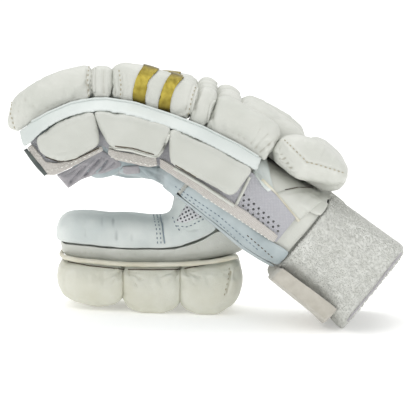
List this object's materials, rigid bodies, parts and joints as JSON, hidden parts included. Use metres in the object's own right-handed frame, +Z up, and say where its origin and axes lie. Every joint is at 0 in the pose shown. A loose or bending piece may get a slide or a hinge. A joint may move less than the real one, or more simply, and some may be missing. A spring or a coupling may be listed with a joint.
{
  "type": "cricket batting glove",
  "caption": "Left-hand cricket batting glove in white leather with foam rolls, side blocks, gold stripes and a towelling wristband, its fingers and thumb curled.",
  "frame": {"origin": "on the floor below the middle of the glove", "axes": "+X from the fingertips to the wristband, +Y from the little finger to the thumb, +Z up"},
  "size_m": [0.2626, 0.1222, 0.1708],
  "materials": {
    "white_leather": "smooth white leather with a fine grain",
    "bar_leather": "smooth bluish-white coated leather",
    "palm_leather": "matte pale grey palm leather",
    "binding_fabric": "woven binding tape",
    "mesh_fabric": "perforated fabric",
    "gold_satin": "metallic gold satin",
    "towelling": "looped towelling"
  },
  "bodies": {
    "root": {"tip_pad_little": "white_leather", "hinge_roll_little": "white_leather", "mid_roll_little": "white_leather", "knuckle_roll_little": "white_leather", "gold_stripe_a_little": "gold_satin", "gold_stripe_b_little": "gold_satin", "tip_pad_ring": "white_leather", "hinge_roll_ring": "white_leather", "mid_roll_ring": "white_leather", "knuckle_roll_ring": "white_leather", "gold_stripe_a_ring": "gold_satin", "gold_stripe_b_ring": "gold_satin", "tip_pad_middle": "white_leather", "hinge_roll_middle": "white_leather", "mid_roll_middle": "white_leather", "knuckle_roll_middle": "white_leather", "gold_stripe_a_middle": "gold_satin", "gold_stripe_b_middle": "gold_satin", "tip_pad_index": "white_leather", "hinge_roll_index": "white_leather", "mid_roll_index": "white_leather", "knuckle_roll_index": "white_leather", "gold_stripe_a_index": "gold_satin", "gold_stripe_b_index": "gold_satin", "back_roll_little": "white_leather", "back_roll_a_ring": "white_leather", "back_roll_b_ring": "white_leather", "back_roll_a_middle": "white_leather", "back_roll_b_middle": "white_leather", "back_roll_a_index": "white_leather", "back_roll_b_index": "white_leather", "finger_stall_little": "palm_leather", "finger_stall_ring": "palm_leather", "finger_stall_middle": "palm_leather", "finger_stall_index": "palm_leather", "hand_shell": "white_leather", "palm_leather": "palm_leather", "palm_strip": "palm_leather", "thumb_stall": "palm_leather", "thumb_gusset": "white_leather", "thumb_pad_1": "white_leather", "thumb_pad_2": "white_leather", "thumb_pad_3": "white_leather", "thumb_piping": "white_leather", "side_bar": "bar_leather", "side_block_1": "white_leather", "side_block_2": "white_leather", "side_block_3": "white_leather", "mesh_panel": "mesh_fabric", "edge_binding_1": "binding_fabric", "edge_binding_2": "binding_fabric", "edge_binding_3": "binding_fabric", "cuff_roll": "white_leather", "cuff_flap": "white_leather", "wristband": "towelling", "wrist_strap": "towelling", "strap_tab": "white_leather"}
  },
  "joints": []
}
